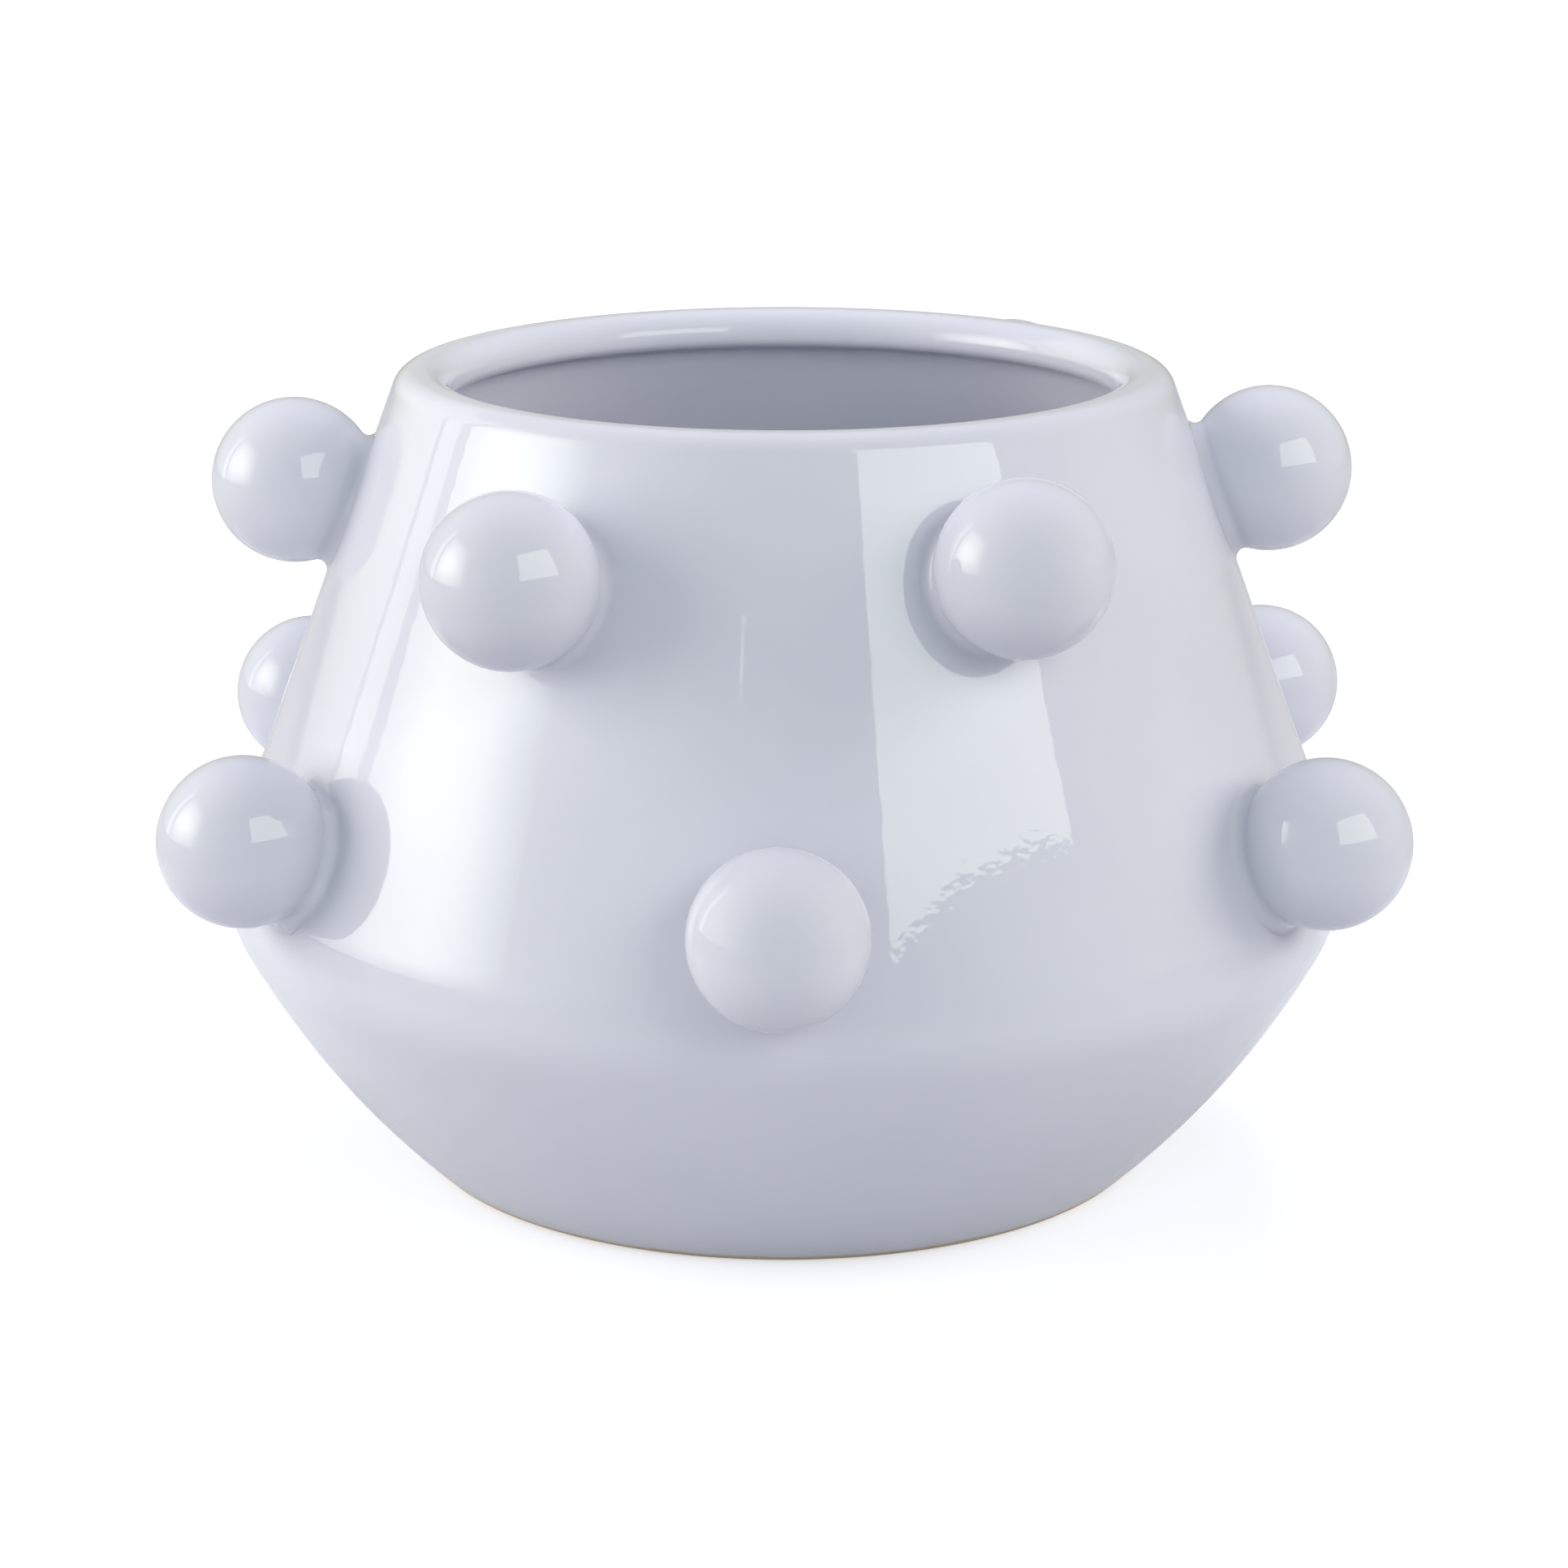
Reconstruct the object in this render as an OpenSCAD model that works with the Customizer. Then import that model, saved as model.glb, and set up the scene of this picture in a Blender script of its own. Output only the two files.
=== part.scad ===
// Round planter of glazed stoneware: a squat bowl whose straight wall leans in to a rolled lip,
// dressed with two staggered rings of hollow balls that are joined on with slip.
// The origin is the middle of the foot, on the surface that it stands on. The front is -Y.

/* [Pot] */
// Height from the foot to the top of the lip
pot_h = 135; // [125:1:160]
// Widest diameter, at the belly
belly_d = 189.8; // [180:0.2:220]
// Height of the widest place
belly_z = 48.5; // [42:0.5:56]
// Radius that rounds the belly over into the wall
belly_r = 18; // [12:0.5:24]
// Lean of the straight wall from upright, in degrees
wall_lean = 20.3; // [15:0.1:22]
// Radius of the long curve from the foot up to the belly
bowl_r = 146; // [120:1:200]
// Thickness of the cast wall and floor
wall = 5; // [4:0.5:6]

/* [Foot] */
// Diameter of the foot, before its edge is rounded
foot_d = 123.4; // [110:0.2:130]
// Width of the bare ring that the pot stands on
foot_ring_w = 8; // [5:0.5:14]
// Depth of the hollow inside the foot ring
foot_hollow = 2; // [1:0.5:3]
// Rounding of the foot's outer edge
foot_edge_r = 2.4; // [1:0.2:4]
// Rounding where the floor turns up into the wall, inside
floor_corner_r = 10; // [6:1:16]

/* [Lip] */
// Width of the lip across its top
lip_w = 8.7; // [7.5:0.1:11]
// Rounding of the lip's outer shoulder
lip_outer_r = 4; // [3:0.2:5]
// Rounding of the lip's top towards the mouth
lip_inner_r = 4.4; // [3:0.2:5]
// Depth of the lip from its top down to its underside
lip_drop = 6.6; // [6:0.2:9]
// Rounding of the lip's lower edge
lip_edge_r = 2; // [1:0.2:2.4]
// Rounding under the lip, where it grows out of the wall
lip_root_r = 2; // [1:0.2:3]

/* [Balls] */
// Number of balls in each ring
balls_per_ring = 6; // [4:1:8]
// Diameter of a ball
ball_d = 27.7; // [22:0.1:32]
// Thickness of a ball's cast shell
ball_wall = 4; // [3:0.5:5]
// Depth that a ball is cut away to sit on the wall
ball_sink = 3.8; // [3:0.1:5]
// Diameter of the pouring hole that a ball keeps in its seat
ball_hole_d = 11; // [8:0.5:12]
// Height of the lower balls above the place where the straight wall starts
low_ring_rise = 12.1; // [12:0.1:20]
// Depth of the upper balls below the top of the lip
high_ring_drop = 19; // [18:0.2:26]

/* [Slip joints] */
// Radius of the hollow curve that the slip is smoothed to
slip_r = 1.3; // [0.8:0.1:2]
// Angle at which the slip runs out on the ball and on the wall
slip_edge = 30; // [20:1:40]

/* [Hidden] */
$fn = 96;

// How far each cutting shape runs past what it cuts
overrun = 1;
// Sides of a full turn of the slim slip rings and of the cone that cuts them
fine = 256;
glaze = [0.80, 0.82, 0.88];

// The balls are set by hand, so each is a little off its even place.
// Turn is a share of the angle between two balls, lift a share of a ball's diameter.
upper_turn_shares = [-0.06, 0, -0.013, 0, 0.002, -0.003];
upper_lift_shares = [0.012, 0.055, 0.053, -0.03, -0.016, -0.07];
lower_turn_shares = [-0.008, -0.008, -0.012, 0, -0.02, 0.011];
lower_lift_shares = [-0.025, -0.01, 0.065, 0, -0.036, 0.006];

ball_r = ball_d / 2;
// Height of a ball's centre over the wall, square to it
ball_stand = ball_r - ball_sink;

// The direction square to the wall, as [outwards, up]
wall_out = [cos(wall_lean), sin(wall_lean)];
base_z = foot_hollow + wall;

// The belly's circle, the point where it passes into the wall, and the wall's own line
belly_mid = [belly_d / 2 - belly_r, belly_z];
wall_start = belly_mid + wall_out * belly_r;
function wall_r(z) = wall_start[0] - (z - wall_start[1]) * tan(wall_lean);

function towards(from, to) = (to - from) / norm(to - from);

// The bowl's circle goes through the foot's edge and holds the belly's circle inside it
foot_edge = [foot_d / 2, 0];
rise = norm(belly_mid - foot_edge);
rise_way = towards(foot_edge, belly_mid);
along = (pow(bowl_r, 2) - pow(bowl_r - belly_r, 2) + pow(rise, 2)) / (2 * rise);
across = sqrt(pow(bowl_r, 2) - pow(along, 2));
bowl_mid = foot_edge + along * rise_way + across * [-rise_way[1], rise_way[0]];
bowl_way = towards(bowl_mid, belly_mid);

// The centre of a circle that rests on height z and touches the bowl's circle from inside
function nested(outer_r, r, z) =
    [bowl_mid[0] + sqrt(pow(outer_r - r, 2) - pow(bowl_mid[1] - z - r, 2)), z + r];

// The foot's rounded edge
foot_mid = nested(bowl_r, foot_edge_r, 0);
foot_way = towards(bowl_mid, foot_mid);

// The lip: its outer shoulder, the rounding of its mouth and its lower edge
shoulder_z = pot_h - lip_outer_r;
shoulder_mid = [wall_r(shoulder_z) - lip_outer_r / wall_out[0], shoulder_z];
mouth_r = wall_r(pot_h) - lip_w;
mouth_round = min(lip_inner_r, shoulder_mid[0] - mouth_r);
mouth_mid = [mouth_r + mouth_round, pot_h - mouth_round];
edge_round = min(lip_edge_r, lip_drop - mouth_round);
under_z = pot_h - lip_drop;
edge_mid = [mouth_r + edge_round, under_z + edge_round];

// The inner face of the wall follows the outer one, and its corners have their own radii
function inner_r(z) = wall_r(z) - wall / wall_out[0];
corner_mid = nested(bowl_r - wall, floor_corner_r, base_z);
corner_way = towards(bowl_mid, corner_mid);
root_half = (90 - wall_lean) / 2;
root_round = min(lip_root_r, (inner_r(under_z) - edge_mid[0]) * tan(root_half));
root_mid = [inner_r(under_z) - root_round / tan(root_half), under_z - root_round];

// The places of the balls, as [angle from the front, height of the centre]
pitch = 360 / balls_per_ring;
function pick(shares, n) = shares[(n - 1) % len(shares)];
function upper_spot(n) = [
    (n - 1 / 2 + pick(upper_turn_shares, n)) * pitch,
    pot_h - high_ring_drop + pick(upper_lift_shares, n) * ball_d
];
function lower_spot(n) = [
    (n - 1 + pick(lower_turn_shares, n)) * pitch,
    wall_start[1] + low_ring_rise + pick(lower_lift_shares, n) * ball_d
];

// The part of a circle that stands out past the chord between two points on it. It reaches inwards
// past the chord by a share of the radius, so that it laps over the outline that it rounds.
module bulge(mid, from, to) {
    lap_share = 0.1;
    intersection() {
        translate(mid) circle(norm(from - mid));
        polygon([
            from + (mid - from) * lap_share, from * 2 - mid,
            to * 2 - mid, to + (mid - to) * lap_share
        ]);
    }
}

// Half of the pot's outside shape, filled in to its axis
module outer_section() {
    foot_flat = [foot_mid[0], 0];
    foot_end = bowl_mid + foot_way * bowl_r;
    bowl_end = bowl_mid + bowl_way * bowl_r;
    wall_end = shoulder_mid + wall_out * lip_outer_r;
    lip_top = [shoulder_mid[0], pot_h];
    polygon([[0, 0], foot_flat, foot_end, bowl_end, wall_start, wall_end, lip_top, [0, pot_h]]);
    bulge(foot_mid, foot_flat, foot_end);
    bulge(bowl_mid, foot_end, bowl_end);
    bulge(belly_mid, bowl_end, wall_start);
    bulge(shoulder_mid, wall_end, lip_top);
}

// Half of the space inside, with the lip's two mouth corners still cut straight across
module inner_section() {
    corner_flat = [corner_mid[0], base_z];
    corner_end = bowl_mid + corner_way * (bowl_r - wall);
    bowl_end = bowl_mid + bowl_way * (bowl_r - wall);
    belly_end = belly_mid + wall_out * (belly_r - wall);
    root_start = root_mid + wall_out * root_round;
    root_end = [root_mid[0], under_z];
    polygon([
        [0, base_z], corner_flat, corner_end, bowl_end, belly_end, root_start, root_end,
        [edge_mid[0], under_z], [mouth_r, edge_mid[1]], [mouth_r, mouth_mid[1]],
        [mouth_mid[0], pot_h], [mouth_mid[0], pot_h + overrun], [0, pot_h + overrun]
    ]);
    bulge(corner_mid, corner_flat, corner_end);
    bulge(bowl_mid, corner_end, bowl_end);
    bulge(belly_mid, bowl_end, belly_end);
    bulge(root_mid, root_start, root_end);
}

module pot_section() {
    hollow_r = foot_edge[0] - foot_ring_w;
    difference() {
        outer_section();
        inner_section();
        polygon([[0, -overrun], [hollow_r, -overrun], [hollow_r, 0],
            [hollow_r - foot_hollow, foot_hollow], [0, foot_hollow]]);
    }
    bulge(mouth_mid, [mouth_r, mouth_mid[1]], [mouth_mid[0], pot_h]);
    bulge(edge_mid, [edge_mid[0], under_z], [mouth_r, edge_mid[1]]);
}

// The cone that the straight wall's outer face lies on, filled in, with its seam away from +X
module wall_cone() {
    rotate([0, 0, 180]) cylinder(h = pot_h, r1 = wall_r(0), r2 = wall_r(pot_h), $fn = fine);
}

// Sets its children on the wall at +X: their origin is the centre of a ball at height z,
// and their +Z points away from the wall
module on_wall(z) {
    seat_z = z - ball_stand * wall_out[1];
    translate([wall_r(seat_z) + ball_stand * wall_out[0], 0, z])
        rotate([0, 90 - wall_lean, 0])
            children();
}

module pot_body() {
    color(glaze) rotate_extrude() pot_section();
}

// A hollow ball, cut to the wall's own curve, with its pouring hole against the wall
module ball(spot) {
    color(glaze) rotate([0, 0, spot[0] - 90]) difference() {
        on_wall(spot[1]) sphere(ball_r);
        on_wall(spot[1]) sphere(ball_r - ball_wall);
        on_wall(spot[1]) translate([0, 0, -ball_r]) cylinder(h = ball_r, d = ball_hole_d);
        wall_cone();
    }
}

// The ring of slip round a ball's neck, smoothed to a hollow curve between ball and wall
module slip_section() {
    // The hollow curve's circle meets the ball and the wall at the run-out angle
    reach = sqrt(pow(ball_r, 2) + pow(slip_r, 2) + 2 * ball_r * slip_r * cos(slip_edge));
    curve_y = slip_r * cos(slip_edge) - ball_stand;
    curve_mid = [sqrt(pow(reach, 2) - pow(curve_y, 2)), curve_y];
    toe = [curve_mid[0] - slip_r * sin(slip_edge), -ball_stand];
    // The wall falls away to both sides, so the slip runs on down until the wall cuts it
    fall = pow(ball_r, 2) / mouth_r;
    heel_r = toe[0] - ball_sink;
    difference() {
        polygon([
            [heel_r, curve_mid[1]], curve_mid, toe,
            toe + [fall / tan(slip_edge), -fall], [heel_r, -ball_stand - fall]
        ]);
        translate(curve_mid) circle(slip_r);
        circle(ball_r);
    }
}

module slip_joint(spot) {
    color(glaze) rotate([0, 0, spot[0] - 90]) difference() {
        on_wall(spot[1]) rotate_extrude($fn = fine) slip_section($fn = fine);
        wall_cone();
    }
}

pot_body();
for (n = [1:balls_per_ring]) {
    ball(upper_spot(n));
    ball(lower_spot(n));
    slip_joint(upper_spot(n));
    slip_joint(lower_spot(n));
}
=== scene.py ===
# %% [markdown]
# This lesson dresses a round stoneware planter for a render. Such a pot is usually slip cast:
# liquid clay stands in a plaster mould until a wall of about 5 mm has set. Twelve hollow balls are
# cast apart and joined on with slip, which is wet clay used as glue, and then all of it is glazed
# in one pale colour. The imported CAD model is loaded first, because every new piece stands for one
# of its nodes.

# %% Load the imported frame
from math import atan2, cos, degrees, hypot, pi, radians, sin, sqrt, tan

import bmesh
import bpy
from mathutils import Matrix, Vector, noise


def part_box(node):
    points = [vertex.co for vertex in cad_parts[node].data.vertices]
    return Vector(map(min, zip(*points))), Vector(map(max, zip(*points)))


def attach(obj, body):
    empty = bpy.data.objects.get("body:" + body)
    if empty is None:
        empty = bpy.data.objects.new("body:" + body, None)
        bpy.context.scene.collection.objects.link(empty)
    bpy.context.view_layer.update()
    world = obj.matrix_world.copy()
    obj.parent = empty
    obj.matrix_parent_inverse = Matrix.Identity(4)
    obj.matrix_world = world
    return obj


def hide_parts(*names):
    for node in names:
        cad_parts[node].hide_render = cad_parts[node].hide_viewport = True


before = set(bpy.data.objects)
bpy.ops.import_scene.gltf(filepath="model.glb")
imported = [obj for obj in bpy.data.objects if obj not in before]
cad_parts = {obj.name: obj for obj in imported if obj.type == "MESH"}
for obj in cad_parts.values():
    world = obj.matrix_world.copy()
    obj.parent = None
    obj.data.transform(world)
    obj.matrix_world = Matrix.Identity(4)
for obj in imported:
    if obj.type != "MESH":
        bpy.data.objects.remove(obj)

scene = bpy.context.scene
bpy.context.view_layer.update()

# %% [markdown]
# The sizes are the ones that the CAD source uses, in millimetres, but for the slip's round, which
# is 1.3 there. Blender works in metres, so each mesh is drawn in millimetres and scaled once at its
# end.

# %% Sizes of the pot
MM = 0.001
pot_height = 135.0
belly_radius, belly_height, belly_round = 94.9, 48.5, 18.0
wall_lean = 20.3
bowl_round = 146.0
wall_thick = 5.0
foot_radius, foot_ring, foot_hollow, foot_round = 61.7, 8.0, 2.0, 2.4
floor_round = 10.0
lip_width, lip_drop = 8.7, 6.6
lip_outer_round, lip_inner_round, lip_edge_round, lip_root_round = 4.0, 4.4, 2.0, 2.0

# %% Sizes of the balls and of the slip round their necks
balls_in_ring = 6
ball_radius, ball_shell, ball_sink = 13.85, 4.0, 3.8
ball_hole_radius = 5.5
low_ring_rise, high_ring_drop = 12.1, 19.0
slip_round = 1.5
# Each ball is set one by one. Turn is a share of the angle between two balls, lift of a diameter.
# The fourth ball of each ring is hidden by the pot, so its values weren't measured.
upper_turn = [-0.06, 0, -0.013, 0, 0.002, -0.003]
upper_lift = [0.012, 0.055, 0.053, -0.03, -0.016, -0.07]
lower_turn = [-0.008, -0.008, -0.012, 0, -0.02, 0.011]
lower_lift = [-0.025, -0.01, 0.065, 0, -0.036, 0.006]

# %% [markdown]
# The pot's section is a chain of lines and arcs that touch without a kink. Each arc is known by its
# middle and radius, and where two arcs touch, the joint lies on the line through their middles. So
# the section is worked out from the sizes, and no curve is bent by eye.

# %% Work out the section's arcs


def way(angle):
    """The direction that lies this many degrees above the horizontal."""
    return Vector((cos(radians(angle)), sin(radians(angle))))


def angle_of(direction):
    return degrees(atan2(direction[1], direction[0]))


wall_out = way(wall_lean)
belly_mid = Vector((belly_radius - belly_round, belly_height))
wall_start = belly_mid + wall_out * belly_round


def wall_radius(height):
    """Radius of the wall's outer face at this height."""
    return wall_start[0] - (height - wall_start[1]) * tan(radians(wall_lean))


# The bowl's arc starts at the foot's edge and holds the belly's arc inside it
foot_edge = Vector((foot_radius, 0))
rise = (belly_mid - foot_edge).length
rise_way = (belly_mid - foot_edge) / rise
along = (bowl_round ** 2 - (bowl_round - belly_round) ** 2 + rise ** 2) / (2 * rise)
across = sqrt(bowl_round ** 2 - along ** 2)
bowl_mid = foot_edge + along * rise_way + across * Vector((-rise_way[1], rise_way[0]))
bowl_way = angle_of(belly_mid - bowl_mid)


def nested(outer_round, inner_round, height):
    """Middle of a small arc that rests on a height and touches the bowl's arc from inside."""
    up = bowl_mid[1] - height - inner_round
    out = bowl_mid[0] + sqrt((outer_round - inner_round) ** 2 - up ** 2)
    return Vector((out, height + inner_round))


foot_mid = nested(bowl_round, foot_round, 0)
floor_height = foot_hollow + wall_thick
floor_mid = nested(bowl_round - wall_thick, floor_round, floor_height)
shoulder_height = pot_height - lip_outer_round
shoulder_radius = wall_radius(shoulder_height) - lip_outer_round / wall_out[0]
shoulder_mid = Vector((shoulder_radius, shoulder_height))
mouth_radius = wall_radius(pot_height) - lip_width
mouth_round = min(lip_inner_round, shoulder_mid[0] - mouth_radius)
mouth_mid = Vector((mouth_radius + mouth_round, pot_height - mouth_round))
under_lip = pot_height - lip_drop
edge_mid = Vector((mouth_radius + lip_edge_round, under_lip + lip_edge_round))
inner_wall = wall_radius(under_lip) - wall_thick / wall_out[0]
root_radius = inner_wall - lip_root_round / tan(radians((90 - wall_lean) / 2))
root_mid = Vector((root_radius, under_lip - lip_root_round))
print("mouth radius", round(mouth_radius, 2), "mm, bowl middle", [round(v, 2) for v in bowl_mid])

# %% [markdown]
# A pen draws such a section with two bmesh operators. It extrudes its tip for a straight line, and
# spins its tip about the middle of an arc. A spin of the whole section about the upright axis then
# makes the pot, as a potter's wheel does. A cylinder pushed into shape would need far more steps.

# %% The pen and the wheel
same_point = 0.0005     # points nearer than this, in millimetres, are merged


class Pen:
    """Draws a section in the XZ plane in millimetres, edge by edge."""

    def __init__(self, x, z):
        self.bm = bmesh.new()
        self.tip = self.bm.verts.new((x, 0, z))

    def line(self, x, z, parts=1):
        step = (Vector((x, 0, z)) - self.tip.co) / parts
        for _ in range(parts):
            self.tip = bmesh.ops.extrude_vert_indiv(self.bm, verts=[self.tip])["verts"][0]
            bmesh.ops.translate(self.bm, verts=[self.tip], vec=step)

    def arc(self, mid, end_angle, parts):
        """Turns the tip about mid, the short way round, until it stands at end_angle."""
        start_angle = angle_of((self.tip.co.x - mid[0], self.tip.co.z - mid[1]))
        turn = (end_angle - start_angle + 180) % 360 - 180
        spun = bmesh.ops.spin(
            self.bm, geom=[self.tip], cent=(mid[0], 0, mid[1]), axis=(0, 1, 0),
            angle=-radians(turn), steps=parts, use_merge=False, use_duplicate=False)
        self.tip = next(item for item in spun["geom_last"] if isinstance(item, bmesh.types.BMVert))


def turn_on_wheel(bm, steps):
    """Spins a section round the Z axis, closes seam and poles, and turns the faces outwards."""
    bmesh.ops.spin(
        bm, geom=bm.verts[:] + bm.edges[:], cent=(0, 0, 0), axis=(0, 0, 1),
        angle=2 * pi, steps=steps, use_merge=True, use_duplicate=False)
    bmesh.ops.remove_doubles(bm, verts=bm.verts, dist=same_point)
    bmesh.ops.recalc_face_normals(bm, faces=bm.faces)


# %% [markdown]
# One helper turns a finished bmesh into an object. It smooths the faces, keeps an edge sharp only
# where the real one is, hangs the piece on the root body and hides the CAD node that it stands for.

# %% The helper that makes a piece
sharp_edge_angle = 40
pieces = []


def make_piece(bm, name, node):
    bmesh.ops.scale(bm, vec=(MM, MM, MM), verts=bm.verts)
    mesh = bpy.data.meshes.new(name)
    bm.to_mesh(mesh)
    bm.free()
    mesh.shade_smooth()
    mesh.set_sharp_from_angle(angle=radians(sharp_edge_angle))
    piece = bpy.data.objects.new(name, mesh)
    scene.collection.objects.link(piece)
    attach(piece, "root")
    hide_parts(node)
    pieces.append(piece)
    return piece


def triangles(piece):
    return sum(len(face.vertices) - 2 for face in piece.data.polygons)


# %% [markdown]
# The pot starts in the middle of the hollow under its foot. The pen goes out over the foot ring, up
# the outside, over the lip and down the inside to the middle of the floor. The foot ring keeps its
# crisp inner edge, and everything else is round, because glaze softens each edge that it covers.

# %% Draw and turn the pot
pot_steps = 256
hollow_radius = foot_radius - foot_ring
pen = Pen(0, foot_hollow)
pen.line(hollow_radius - foot_hollow, foot_hollow, 4)
pen.line(hollow_radius, 0)
pen.line(foot_mid[0], 0, 3)
pen.arc(foot_mid, angle_of(foot_mid - bowl_mid), 12)
pen.arc(bowl_mid, bowl_way, 36)
pen.arc(belly_mid, wall_lean, 28)
wall_end = shoulder_mid + wall_out * lip_outer_round
pen.line(wall_end[0], wall_end[1], 24)
pen.arc(shoulder_mid, 90, 18)
pen.line(mouth_mid[0], pot_height)
pen.arc(mouth_mid, 180, 20)
pen.line(mouth_radius, edge_mid[1])
pen.arc(edge_mid, 270, 14)
pen.line(root_mid[0], under_lip)
pen.arc(root_mid, wall_lean, 10)
belly_end = belly_mid + wall_out * (belly_round - wall_thick)
pen.line(belly_end[0], belly_end[1], 16)
pen.arc(belly_mid, bowl_way, 16)
pen.arc(bowl_mid, angle_of(floor_mid - bowl_mid), 20)
pen.arc(floor_mid, 270, 12)
pen.line(0, floor_height, 6)
turn_on_wheel(pen.bm, pot_steps)
pot = make_piece(pen.bm, "glazed_pot", "pot_body")
print("pot:", triangles(pot), "triangles")

# %% [markdown]
# A ball sits on a cone, not on a plane, so its seat has to follow the wall. The seat is worked out
# in the ball's own frame: its origin is the ball's middle, +Z points away from the wall, +X down
# the slope and +Y sideways. In that frame the wall lies lower to both sides by a small drop.

# %% The ball's own frame on the wall
ball_stand = ball_radius - ball_sink
lean_tan = tan(radians(wall_lean))
seat_half = sqrt(ball_radius ** 2 - ball_stand ** 2)


def spot(ring, number):
    """Angle from the front in degrees, and height of the middle, of one ball."""
    pitch = 360 / balls_in_ring
    if ring == "upper":
        return ((number - 0.5 + upper_turn[number - 1]) * pitch,
                pot_height - high_ring_drop + upper_lift[number - 1] * 2 * ball_radius)
    return ((number - 1 + lower_turn[number - 1]) * pitch,
            wall_start[1] + low_ring_rise + lower_lift[number - 1] * 2 * ball_radius)


def seat_radius(height):
    """Radius of the wall where a ball at this height is seated."""
    return wall_radius(height - ball_stand * wall_out[1])


def wall_level(x, y, height):
    """Z of the wall under the point x, y of the ball's own frame."""
    reach = (seat_radius(height) + x * wall_out[1]) / wall_out[0]
    flat = 1 - lean_tan ** 2
    return (-reach + sqrt(reach ** 2 - flat * y ** 2)) / flat - ball_stand


def gap_to_wall(point, height):
    """Distance from the wall of a point in the ball's own frame, and the wall's normal there."""
    out = (seat_radius(height) + ball_stand * wall_out[0]
           + point.x * wall_out[1] + point.z * wall_out[0])
    up = height - point.x * wall_out[0] + point.z * wall_out[1]
    from_axis = hypot(out, point.y)
    # The wall's normal, first in the pot's frame and then along the three axes of the ball's own
    normal_out, normal_side = wall_out[0] * out / from_axis, wall_out[0] * point.y / from_axis
    normal = Vector((
        normal_out * wall_out[1] - wall_out[1] * wall_out[0], normal_side,
        normal_out * wall_out[0] + wall_out[1] * wall_out[1]))
    return (from_axis - wall_radius(up)) * wall_out[0], normal


def place_on_wall(bm, angle, height):
    """Moves a mesh from the ball's own frame to its place on the pot."""
    seat = Vector((seat_radius(height) + ball_stand * wall_out[0], 0, height))
    tip_over = Matrix.Rotation(radians(90 - wall_lean), 3, "Y")
    go_round = Matrix.Rotation(radians(angle - 90), 3, "Z")
    bmesh.ops.rotate(bm, cent=(0, 0, 0), matrix=tip_over, verts=bm.verts)
    bmesh.ops.translate(bm, vec=seat, verts=bm.verts)
    bmesh.ops.rotate(bm, cent=(0, 0, 0), matrix=go_round, verts=bm.verts)


# %% [markdown]
# Each ball is a cast shell with a pouring hole in its seat, which nobody sees once it is joined on.
# Its section runs from the outer pole down to the seat, in across the seat, up through the hole and
# back over the inside. After the spin the seat's rim is moved to where the ball meets the wall.

# %% Turn the twelve balls
ball_steps = 128
hair = 0.01             # a point this near to the seat or its rim, in millimetres, lies on it
seat_rounds = 6         # how often a point of the rim is moved until it lies on ball and wall


def ball_bmesh(height):
    pen = Pen(0, ball_radius)
    pen.arc((0, 0), angle_of((seat_half, -ball_stand)), 56)
    pen.line(ball_hole_radius, -ball_stand, 3)
    inner_radius = ball_radius - ball_shell
    pen.line(ball_hole_radius, -sqrt(inner_radius ** 2 - ball_hole_radius ** 2))
    pen.arc((0, 0), 90, 28)
    turn_on_wheel(pen.bm, ball_steps)
    for vert in pen.bm.verts:
        if abs(vert.co.z + ball_stand) > hair:
            continue
        side = Vector((vert.co.x, vert.co.y))
        on_rim = side.length > seat_half - hair
        for _ in range(seat_rounds):
            level = wall_level(side.x, side.y, height)
            if on_rim:
                side = side.normalized() * sqrt(ball_radius ** 2 - level ** 2)
        vert.co = (side.x, side.y, level)
    return pen.bm


for ring in ("upper", "lower"):
    for number in range(1, balls_in_ring + 1):
        angle, height = spot(ring, number)
        bm = ball_bmesh(height)
        place_on_wall(bm, angle, height)
        piece = make_piece(
            bm, f"glazed_ball_{ring}_{number}", f"ball_{ring}_{number}")
        corners = [Vector(corner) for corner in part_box(f"ball_{ring}_{number}")]
        places = [vert.co for vert in piece.data.vertices]
        own = [Vector(pick(place[axis] for place in places) for axis in range(3))
               for pick in (min, max)]
        off = max((own[0] - corners[0]).length, (own[1] - corners[1]).length)
        print(piece.name, triangles(piece), "triangles,", round(off / MM, 3), "mm off its CAD box")

# %% [markdown]
# The slip round a neck is wiped with a wet finger, which leaves a small hollow curve that runs into
# the ball and into the wall without a kink. It is a ring with a section of three sides, the outer
# one hollow. A finger is a rolling ball, so at each angle round the neck the curve's middle lies
# one radius off both surfaces. That middle is found by halving, and the spun ring is moved onto the
# curve.

# %% The hollow curve round a neck
neck_steps = 96
curve_parts = 14
lowest_tilt, halvings = -80.0, 30


def curve_middle(turn, rounding, height):
    """Middle of the hollow curve at this angle round the neck, one rounding off ball and wall."""
    far = ball_radius + rounding
    low, high = lowest_tilt, 0.0
    for _ in range(halvings):
        tilt = (low + high) / 2
        flat = far * cos(radians(tilt))
        middle = Vector((flat * cos(turn), flat * sin(turn), far * sin(radians(tilt))))
        if gap_to_wall(middle, height)[0] > rounding:
            high = tilt
        else:
            low = tilt
    return middle


# How fast the slow ripple and the small wrinkles change round a neck, and how far apart both are
ripple_pace, wrinkle_pace, wrinkle_shift = 1.2, 4, 5


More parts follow.
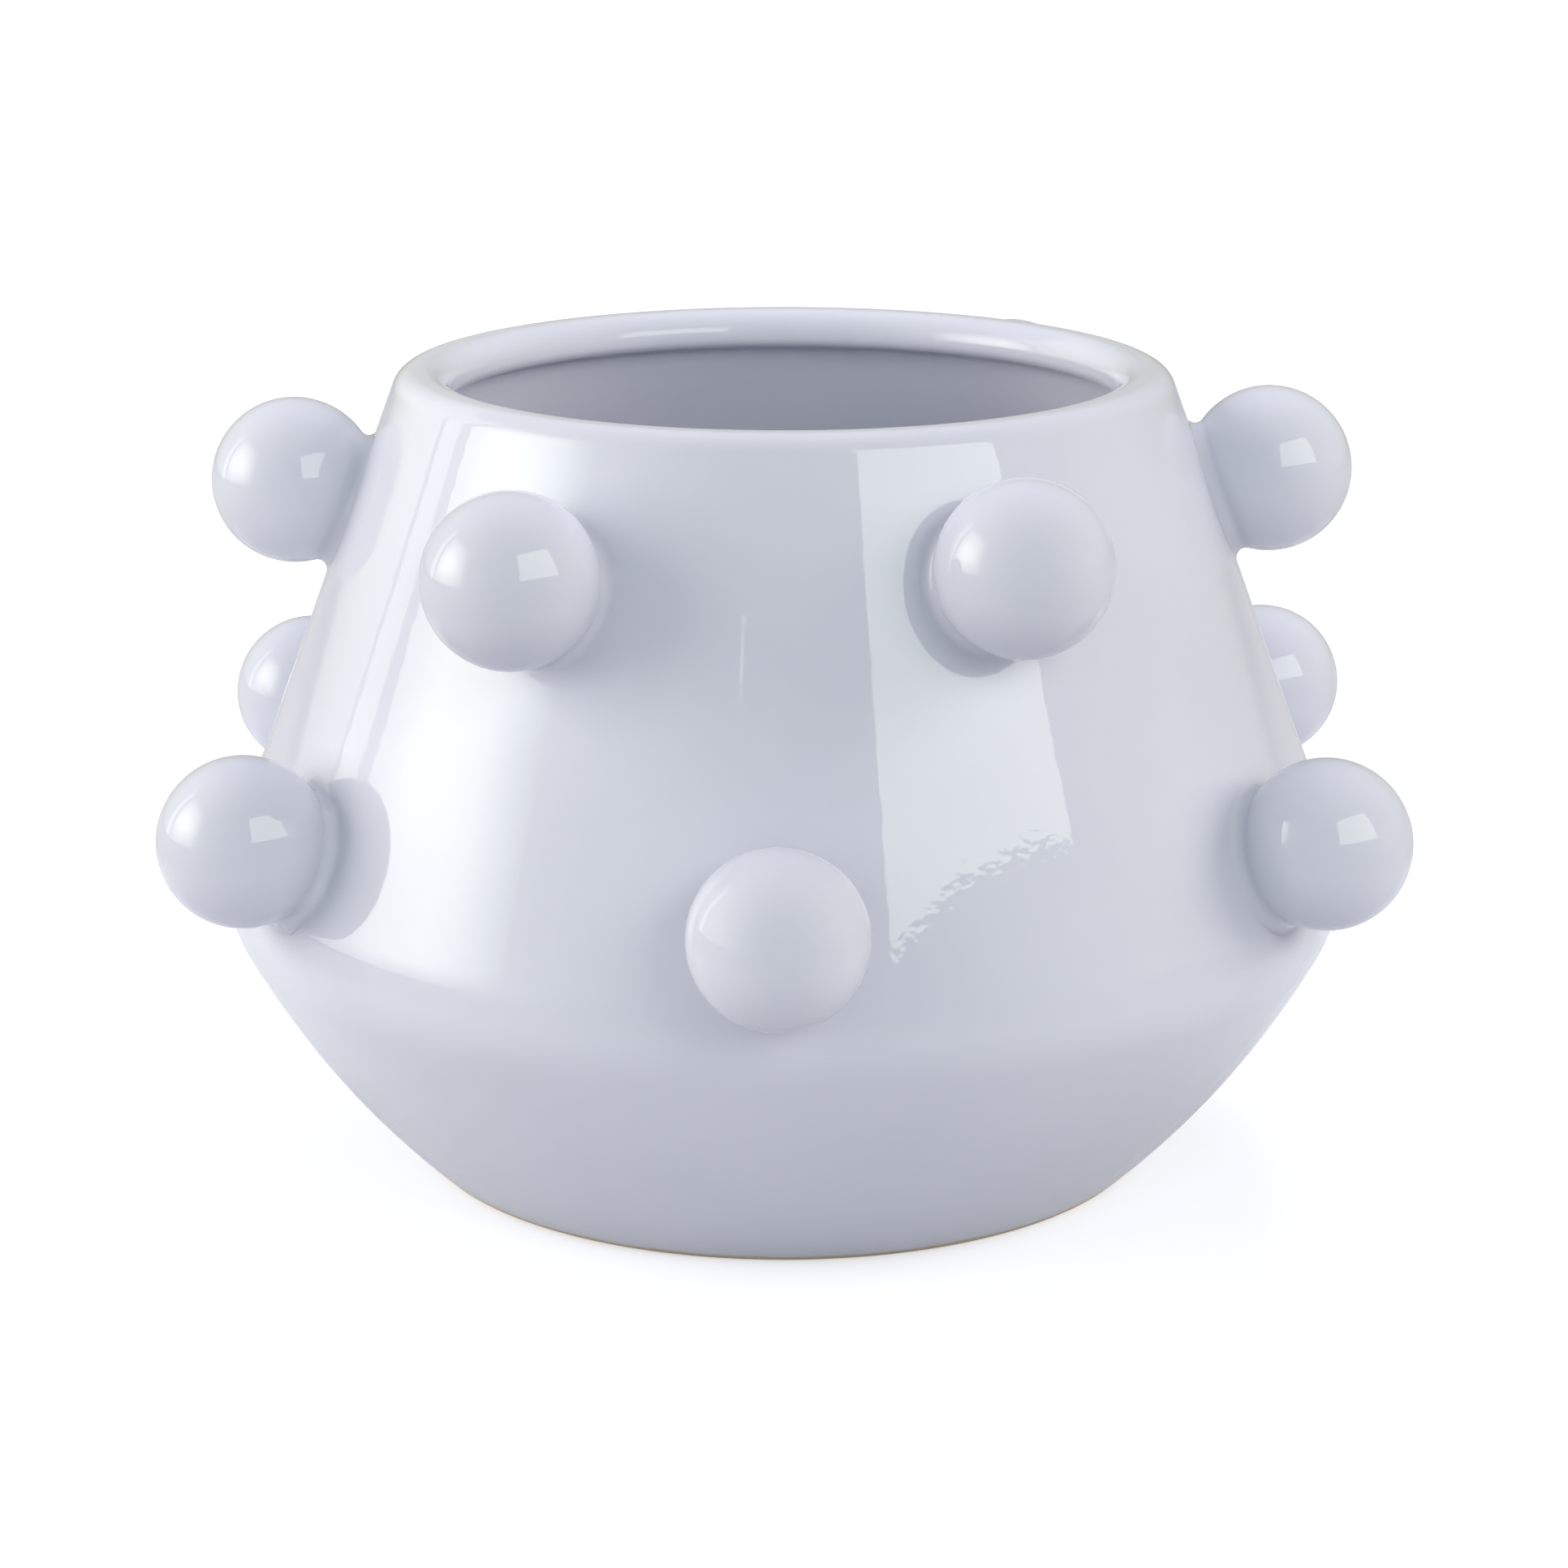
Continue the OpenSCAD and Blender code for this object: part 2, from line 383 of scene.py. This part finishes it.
def slip_bmesh(height, unevenness, folds, seed):
    """A ring of slip. Its curve is wider here and narrower there, as a finger leaves it."""
    # The ring is first spun flat: how far out a vertex lies is its share of the way to the wall
    pen = Pen(ball_radius, 0)
    pen.line(ball_radius + 1, 0, curve_parts)
    pen.line(ball_radius + 0.5, -1)
    bm = pen.bm
    bm.verts.ensure_lookup_table()
    bm.edges.new((bm.verts[-1], bm.verts[0]))
    turn_on_wheel(bm, neck_steps)
    for vert in bm.verts:
        turn = atan2(vert.co.y, vert.co.x)
        share = hypot(vert.co.x, vert.co.y) - ball_radius
        ripple = noise.noise(Vector((ripple_pace * cos(turn), ripple_pace * sin(turn), seed)))
        wrinkle = noise.noise(Vector((
            wrinkle_pace * cos(turn), wrinkle_pace * sin(turn), seed + wrinkle_shift)))
        rounding = slip_round * (1 + unevenness * ripple + folds * wrinkle)
        middle = curve_middle(turn, rounding, height)
        to_ball = -middle.normalized()
        to_wall = -gap_to_wall(middle, height)[1]
        if vert.co.z < -0.5:
            # The heel lies in the corner between ball and wall, behind the curve
            inwards = (to_ball + to_wall).normalized()
            vert.co = middle + inwards * rounding / sqrt((1 + to_ball.dot(to_wall)) / 2)
        else:
            vert.co = middle + to_ball.slerp(to_wall, share) * rounding
    bmesh.ops.recalc_face_normals(bm, faces=bm.faces)
    return bm


# The slip at the lower ball on the left was left in small folds
neck_unevenness = 0.14
neck_folds = {("lower", 6): 0.35}
slight_folds = 0.04
for ring in ("upper", "lower"):
    for number in range(1, balls_in_ring + 1):
        angle, height = spot(ring, number)
        folds = neck_folds.get((ring, number), slight_folds)
        seed = 10 * number + (5 if ring == "upper" else 6)
        bm = slip_bmesh(height, neck_unevenness, folds, seed)
        place_on_wall(bm, angle, height)
        piece = make_piece(bm, f"slip_{ring}_{number}", f"slip_joint_{ring}_{number}")
slip_rings = [piece for piece in pieces if piece.name.startswith("slip")]
print("slip rings:", sum(triangles(piece) for piece in slip_rings), "triangles")

# %% [markdown]
# Colours are written as the sRGB hex values that a paint chart gives. Blender's sockets want linear
# light, so one function turns them. One more adds a node with its settings and its links, and the
# materials are built from these two.

# %% Colour and node helpers


def linear(code):
    """An sRGB hex colour as the linear colour that a socket takes."""
    channels = [int(code[i:i + 2], 16) / 255 for i in (1, 3, 5)]
    return [c / 12.92 if c <= 0.04045 else ((c + 0.055) / 1.055) ** 2.4 for c in channels] + [1]


def add(tree, kind, inputs=(), **settings):
    """Adds a node. An input is a plain value or the output socket that feeds it.

    A Mix node takes its share at 0, numbers at 2 and 3, vectors at 4 and 5 and colours at 6 and 7,
    and gives a number at 0, a vector at 1 and a colour at 2.
    """
    node = tree.nodes.new("ShaderNode" + kind)
    for name, value in settings.items():
        setattr(node, name, value)
    for name, value in dict(inputs).items():
        if isinstance(value, bpy.types.NodeSocket):
            tree.links.new(value, node.inputs[name])
        else:
            node.inputs[name].default_value = value
    return node


def new_tree(owner):
    owner.use_nodes = True
    owner.node_tree.nodes.clear()
    return owner.node_tree


# %% [markdown]
# A stoneware glaze is a glassy skin about half a millimetre thick, fired on at over 1200 degrees.
# This one is a pale lavender grey, and its gloss is that of glass: IOR 1.5 and almost no roughness.
# What gives it away as glaze is its surface, which lies in slow waves and fine orange peel, so the
# edge of a reflected window is ragged. Both are bumps, since they are hundredths of a millimetre
# high.

# %% The glazed stoneware
glaze_pale, glaze_deep = "#D6D7E0", "#CDCFD9"
peel_size, peel_height = 1.6 * MM, 0.009 * MM
wave_size, wave_height = 16 * MM, 0.035 * MM
cloud_size = 30 * MM
glaze_ior, glaze_smoothest, glaze_roughest = 1.5, 0.008, 0.016


def glazed(name, with_foot=False):
    """Pale glossy glaze. With a foot, the clay is bare where the pot stands."""
    material = bpy.data.materials.new(name)
    tree = new_tree(material)
    place = add(tree, "TexCoord").outputs["Object"]
    clouds = add(tree, "TexNoise", {"Vector": place, "Scale": 1 / cloud_size, "Detail": 2})
    colour = add(
        tree, "Mix", {0: clouds.outputs["Fac"], 6: linear(glaze_pale), 7: linear(glaze_deep)},
        data_type="RGBA").outputs[2]
    peel = add(tree, "TexNoise", {"Vector": place, "Scale": 1 / peel_size, "Detail": 1})
    waves = add(tree, "TexNoise", {"Vector": place, "Scale": 1 / wave_size, "Detail": 1})
    roughness = add(tree, "MapRange", {
        "Value": clouds.outputs["Fac"],
        "To Min": glaze_smoothest, "To Max": glaze_roughest}).outputs[0]
    slow = add(tree, "Bump", {"Height": waves.outputs["Fac"], "Distance": wave_height})
    fine = add(tree, "Bump", {
        "Height": peel.outputs["Fac"], "Distance": peel_height, "Normal": slow.outputs[0]})
    normal = fine.outputs[0]
    if with_foot:
        colour, roughness, normal = bare_foot(tree, place, colour, roughness, normal)
    shader = add(tree, "BsdfPrincipled", {
        "Base Color": colour, "Roughness": roughness, "IOR": glaze_ior, "Normal": normal})
    add(tree, "OutputMaterial", {"Surface": shader.outputs[0]})
    return material


# %% [markdown]
# The foot ring is wiped clean before firing, or the pot would stick to the kiln shelf. There the
# fired clay shows, sandy and dull, up to an uneven line about a millimetre above the table.

# %% The bare clay of the foot
clay_sand, clay_grain_dark = "#D9C6AE", "#BCA88E"
bare_height, bare_wander = 1.15 * MM, 0.4 * MM
edge_wave, edge_blur = 9 * MM, 0.15 * MM
grain_size, grain_height = 0.6 * MM, 0.03 * MM
clay_roughness = 0.85


def bare_foot(tree, place, colour, roughness, normal):
    edge = add(tree, "TexNoise", {"Vector": place, "Scale": 1 / edge_wave, "Detail": 2})
    line = add(tree, "MapRange", {
        "Value": edge.outputs["Fac"],
        "To Min": bare_height - bare_wander, "To Max": bare_height + bare_wander})
    height = add(tree, "SeparateXYZ", {0: place}).outputs["Z"]
    above = add(tree, "Math", {0: height, 1: line.outputs[0]}, operation="SUBTRACT").outputs[0]
    bare = add(tree, "MapRange", {
        "Value": above, "From Min": edge_blur, "From Max": -edge_blur}).outputs[0]
    grain = add(tree, "TexNoise", {"Vector": place, "Scale": 1 / grain_size, "Detail": 3})
    clay = add(
        tree, "Mix", {0: grain.outputs["Fac"], 6: linear(clay_sand), 7: linear(clay_grain_dark)},
        data_type="RGBA").outputs[2]
    grit = add(tree, "Bump", {"Height": grain.outputs["Fac"], "Distance": grain_height})
    colour = add(tree, "Mix", {0: bare, 6: colour, 7: clay}, data_type="RGBA").outputs[2]
    roughness = add(tree, "Mix", {0: bare, 2: roughness, 3: clay_roughness}).outputs[0]
    normal = add(
        tree, "Mix", {0: bare, 4: normal, 5: grit.outputs[0]}, data_type="VECTOR").outputs[1]
    return colour, roughness, normal


# %% Give every piece its glaze
pot_glaze = glazed("glazed_stoneware_pot", with_foot=True)
ball_glaze = glazed("glazed_stoneware_ball")
slip_glaze = glazed("glazed_slip_joint")
for piece in pieces:
    if piece is pot:
        material = pot_glaze
    elif piece in slip_rings:
        material = slip_glaze
    else:
        material = ball_glaze
    piece.data.materials.append(material)
print("materials:", [material.name for material in (pot_glaze, ball_glaze, slip_glaze)])

# %% [markdown]
# The pot stands in the middle of a round sheet of white paper, on a duller table. The sheet throws
# light up to the bowl and the table gives the undersides of the balls little. The camera sees both
# overexposed, as in a catalogue picture: white, with only the shadow at the foot left. Mirrored
# rays see a quarter of that glow, or the rims of the pot would be white lines, which the photo
# doesn't show.

# %% The floor
floor_half = 3.0
sheet_radius, sheet_fade = 0.20, 0.08
sheet_white, table_grey = "#CFD0D5", "#909090"
overexposure, table_overexposure, mirrored_overexposure = 0.5, 0.95, 0.25
bm = bmesh.new()
bmesh.ops.create_grid(bm, x_segments=1, y_segments=1, size=floor_half)
mesh = bpy.data.meshes.new("studio_floor")
bm.to_mesh(mesh)
bm.free()
floor = bpy.data.objects.new("studio_floor", mesh)
scene.collection.objects.link(floor)

floor_paint = bpy.data.materials.new("matt_white_paper")
tree = new_tree(floor_paint)
place = add(tree, "TexCoord").outputs["Object"]
out_from_pot = add(tree, "VectorMath", {0: place}, operation="LENGTH").outputs["Value"]
table = add(tree, "MapRange", {
    "Value": out_from_pot, "From Min": sheet_radius, "From Max": sheet_radius + sheet_fade})
colour = add(
    tree, "Mix", {0: table.outputs[0], 6: linear(sheet_white), 7: linear(table_grey)},
    data_type="RGBA").outputs[2]
paper = add(tree, "BsdfDiffuse", {"Color": colour})
over = add(tree, "Mix", {0: table.outputs[0], 2: overexposure, 3: table_overexposure})
path = add(tree, "LightPath")
seen = path.outputs["Is Camera Ray"]
for ray in ("Is Glossy Ray", "Is Transmission Ray"):
    mirrored_glow = add(
        tree, "Math", {0: path.outputs[ray], 1: mirrored_overexposure}, operation="MULTIPLY")
    seen = add(tree, "Math", {0: seen, 1: mirrored_glow.outputs[0]}, operation="MAXIMUM").outputs[0]
strength = add(tree, "Math", {0: seen, 1: over.outputs[0]}, operation="MULTIPLY").outputs[0]
glow = add(tree, "Emission", {"Color": linear("#FFFFFF"), "Strength": strength})
shown = add(tree, "AddShader", {0: paper.outputs[0], 1: glow.outputs[0]})
add(tree, "OutputMaterial", {"Surface": shown.outputs[0]})
mesh.materials.append(floor_paint)

# %% [markdown]
# The rest of the studio is the world, a room of five sides. The light of a direction is a mix of
# the sides, weighted by the squares of the direction's parts, which always add up to one. For matt
# light the front, where the camera stands, is bright and bluish and the rest is dim. Mirrored light
# has levels of its own, so that shading and reflections can each be matched to the photo. The
# camera sees white.

# %% The world
matt_room = {
    "front": (1.05, 1.14, 1.24), "right": (0.2, 0.2, 0.2), "back": (0.2, 0.2, 0.2),
    "left": (0.45, 0.45, 0.45), "top": (0.02, 0.03, 0.05)}
mirrored_room = {
    "front": (0.34, 0.44, 0.60), "right": (0.9, 0.9, 0.9), "back": (0.35, 0.34, 0.24),
    "left": (1.7, 1.7, 1.7), "top": (0.4, 0.4, 0.4)}
side_blend = 0.25


def room_light(tree, direction, light):
    """Colour and strength of the room's light in a direction, from that of its five sides."""
    parts = add(tree, "SeparateXYZ", {0: direction})
    total = light["top"]
    for axis, low, high in (("X", "left", "right"), ("Y", "front", "back")):
        part = parts.outputs[axis]
        share = add(tree, "MapRange", {
            "Value": part, "From Min": -side_blend, "From Max": side_blend})
        side = add(
            tree, "Mix", {0: share.outputs[0], 4: light[low], 5: light[high]}, data_type="VECTOR")
        square = add(tree, "Math", {0: part, 1: part}, operation="MULTIPLY")
        total = add(
            tree, "Mix", {0: square.outputs[0], 4: total, 5: side.outputs[1]},
            data_type="VECTOR").outputs[1]
    return total


world = bpy.data.worlds.new("studio")
scene.world = world
tree = new_tree(world)
path = add(tree, "LightPath")
direction = add(tree, "TexCoord").outputs["Generated"]
matt = room_light(tree, direction, matt_room)
mirrored = room_light(tree, direction, mirrored_room)
room = add(
    tree, "Mix", {0: path.outputs["Is Glossy Ray"], 4: matt, 5: mirrored},
    data_type="VECTOR").outputs[1]
level = add(
    tree, "Mix", {0: path.outputs["Is Camera Ray"], 4: room, 5: (1, 1, 1)},
    data_type="VECTOR").outputs[1]
sky = add(tree, "Background", {"Color": level, "Strength": 1.0})
add(tree, "OutputWorld", {"Surface": sky.outputs[0]})

# %% [markdown]
# Soft boxes at the left, the right and high behind light the pot, and one overhead lights the floor
# alone. An area lamp of power P and area A glows with P / (pi A), so a lamp is set by how bright it
# looks. Six more lamps only show as reflections, so that these can be matched to the photo without
# changing the shading. They are placed by the directions in which the glaze mirrors their edges,
# and all but one are linked to the pieces that show them. In the photo the window isn't mirrored in
# the lowest ball nor in the upper one right of it, so its lamp leaves these two out. The lamp
# called centre_glint_mirrored has no visible effect in the render.

# %% The soft boxes
lamp_tint, back_tint, window_tint = "#FFFDF6", "#F3F5FF", "#F7FFEA"
upwards = Vector((0, 0, 1))


def area_lamp(name, width, height, place, away, glow, mirrored=False, seen_in=None, tint=lamp_tint):
    """A lamp at a place. Its back looks away from the pot, and glow is how bright it looks."""
    lamp = bpy.data.lights.new(name, "AREA")
    lamp.shape = "RECTANGLE"
    lamp.size, lamp.size_y = width, height
    lamp.energy = glow * pi * width * height
    lamp.color = linear(tint)[:3]
    box = bpy.data.objects.new(name, lamp)
    box.location = place
    box.rotation_euler = away.to_track_quat("Z", "Y").to_euler()
    box.visible_diffuse, box.visible_glossy = not mirrored, mirrored
    scene.collection.objects.link(box)
    if seen_in:
        box.light_linking.receiver_collection = bpy.data.collections.new(name + "_seen_in")
        for piece in seen_in:
            box.light_linking.receiver_collection.objects.link(piece)
    return box


def soft_box(name, facing, distance, left, right, bottom, top, glow, mirrored=False, seen_in=None):
    """An upright lamp that faces the pot from an azimuth.

    Its edges lie at the azimuths left and right and at the heights bottom and top.
    """
    ends = [distance * tan(radians(edge - facing)) for edge in (left, right)]
    away = Vector((sin(radians(facing)), -cos(radians(facing)), 0))
    sideways = Vector((cos(radians(facing)), sin(radians(facing)), 0))
    place = away * distance + sideways * sum(ends) / 2 + Vector((0, 0, (bottom + top) / 2))
    tint = window_tint if mirrored else lamp_tint
    width = abs(ends[1] - ends[0])
    return area_lamp(name, width, top - bottom, place, away, glow, mirrored, seen_in, tint)


front_balls = ("glazed_ball_upper_1", "glazed_ball_lower_1")
side_balls = [piece for piece in pieces
              if piece.name.startswith("glazed_ball") and piece.name not in front_balls]
all_but_lowest = [piece for piece in pieces if piece.name != front_balls[1]]

# The lamps that light. After its name a soft box has the azimuth and the distance in metres that it
# stands at, the azimuths of its left and right edges, the heights of its lower and upper ones, and
# its glow
soft_box("left_light", -88, 1.25, -115, -56.5, 0.05, 1.05, 3.75)
soft_box("right_light", 29, 1.2, 18, 50, 0.50, 1.06, 4.3)
soft_box("far_right_light", 90, 1.3, 70, 110, 0.3, 1.2, 4.2)
back_size, back_place, pot_middle = 0.9, Vector((0, 0.75, 1.1)), Vector((0, 0, 0.07))
area_lamp(
    "back_light", back_size, back_size, back_place, back_place - pot_middle, 4.9, tint=back_tint)
paper_size, paper_height = 1.0, 1.3
area_lamp(
    "paper_light", paper_size, paper_size, (0, 0, paper_height), upwards, 0.8, seen_in=[floor])

# The lamps that only show as reflections
left_box = soft_box(
    "left_box_mirrored", -81.5, 1.2, -101, -56.5, 0.05, 1.05, 5.2, True, all_but_lowest)
left_edge = soft_box(
    "left_edge_mirrored", -135, 1.2, -175, -114.4, 0.05, 1.05, 1.0, True, [pot])
soft_box("left_strip_mirrored", -112, 1.2, -112.6, -105.1, 0.05, 1.05, 1.3, True)
soft_box("right_box_mirrored", 29, 1.15, 21.3, 63.8, 0.495, 1.06, 3.3, True, [pot])
soft_box("centre_glint_mirrored", -10, 1.2, -10.4, -9.6, 0.655, 0.69, 2.5, True, [pot])
soft_box("window_mirrored", 37, 1.3, 14, 66, 0.40, 1.40, 3.3, True, side_balls)

# %% Ramps of brightness on two of the lamps
# Each runs along (X) or up (Y) a lamp. It says where it starts and ends, and how bright the lamp is
# at these two places.
left_box_ramps = (
    ("X", 0.0, 0.35, 0.45, 1.0), ("X", 0.55, 1.12, 1.0, 0.0),
    ("Y", -0.1, 0.4, 0.0, 1.0), ("Y", 0.4, 1.15, 1.0, 0.2))
left_edge_ramps = (("X", 0.0, 1.0, 0.1, 1.0), ("Y", -0.05, 0.3, 0.0, 1.0))
for box, ramps in ((left_box, left_box_ramps), (left_edge, left_edge_ramps)):
    tree = new_tree(box.data)
    place = add(tree, "SeparateXYZ", {0: add(tree, "NewGeometry").outputs["Parametric"]})
    profile = 1.0
    for part, start, end, at_start, at_end in ramps:
        ramp = add(tree, "MapRange", {
            "Value": place.outputs[part], "From Min": start, "From Max": end,
            "To Min": at_start, "To Max": at_end}, interpolation_type="SMOOTHSTEP")
        profile = add(
            tree, "Math", {0: profile, 1: ramp.outputs[0]}, operation="MULTIPLY").outputs[0]
    glow = add(tree, "Emission", {"Color": (1, 1, 1, 1), "Strength": profile})
    add(tree, "OutputLight", {"Surface": glow.outputs[0]})

# %% [markdown]
# The camera stands where a fit of the outline and the balls to the photo puts it: 0.72 m away, for
# a pot of this size, and 15 degrees above the table, with a long lens. The small shift only puts
# the pot at its place in the frame.

# %% The camera
camera_data = bpy.data.cameras.new("photo_camera")
camera = bpy.data.objects.new("photo_camera", camera_data)
camera_elevation, camera_distance, aim_height = 15.04, 722.35 * MM, 66.83 * MM
sensor_width, focal_length = 36, 97.12
shift_across, shift_up = 0.00014, -0.01546
camera.location = (0, -camera_distance * cos(radians(camera_elevation)),
                   aim_height + camera_distance * sin(radians(camera_elevation)))
camera.rotation_euler = (radians(90 - camera_elevation), 0, 0)
camera_data.sensor_width = sensor_width
camera_data.lens = focal_length
camera_data.shift_x, camera_data.shift_y = shift_across, shift_up
scene.collection.objects.link(camera)
scene.camera = camera
scene.view_settings.view_transform = "Standard"
